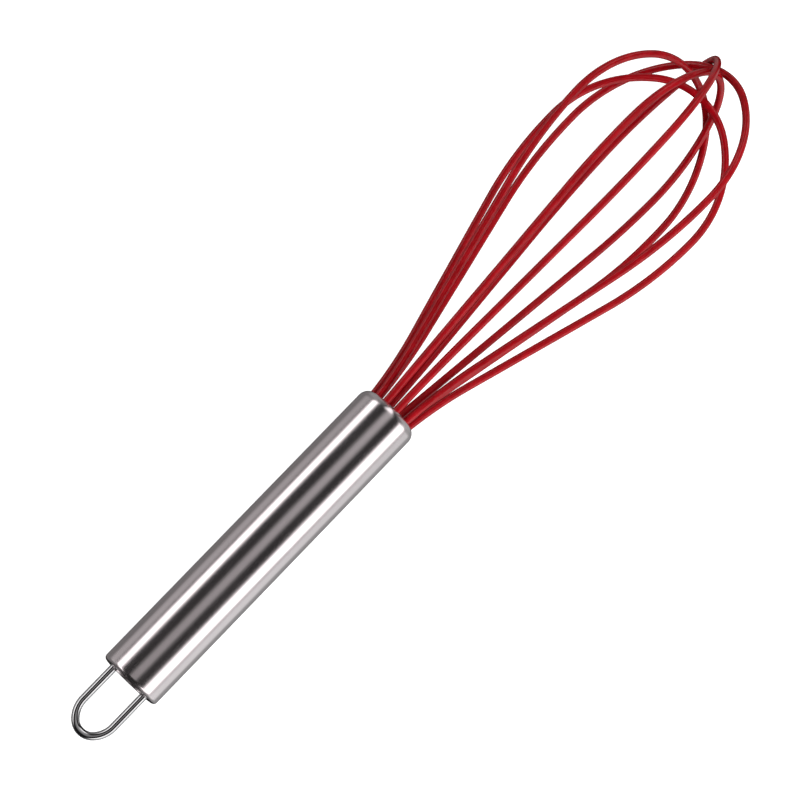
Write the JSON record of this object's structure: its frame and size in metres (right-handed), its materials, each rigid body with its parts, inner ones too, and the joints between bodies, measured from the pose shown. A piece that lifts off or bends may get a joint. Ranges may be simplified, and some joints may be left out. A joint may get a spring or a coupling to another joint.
{
  "type": "balloon whisk",
  "caption": "Hand whisk with a balloon of silicone-covered wire loops, a straight tubular steel handle and a small wire hanging loop.",
  "frame": {"origin": "on the handle's axis, half way between the handle's two ends", "axes": "+X along the handle's axis towards the tip of the balloon; +Y in the plane of the hanging loop; +Z square to the hanging loop's plane"},
  "size_m": [0.3042, 0.0647, 0.0693],
  "materials": {
    "handle_steel": "satin, brushed along the handle",
    "loop_steel": "polished",
    "cap_steel": "plain pressed",
    "wire_steel": "drawn wire",
    "red_silicone": "smooth, semi-gloss",
    "guide_plastic": "moulded, matte",
    "potting_resin": "cast, matte"
  },
  "bodies": {
    "root": {"butt_cap": "cap_steel", "butt_potting": "potting_resin", "core_wire_1": "wire_steel", "core_wire_2": "wire_steel", "core_wire_3": "wire_steel", "core_wire_4": "wire_steel", "core_wire_5": "wire_steel", "handle_tube": "handle_steel", "hanging_loop": "loop_steel", "mouth_potting": "potting_resin", "sleeve_1": "red_silicone", "sleeve_2": "red_silicone", "sleeve_3": "red_silicone", "sleeve_4": "red_silicone", "sleeve_5": "red_silicone", "wire_guide": "guide_plastic"}
  },
  "joints": []
}
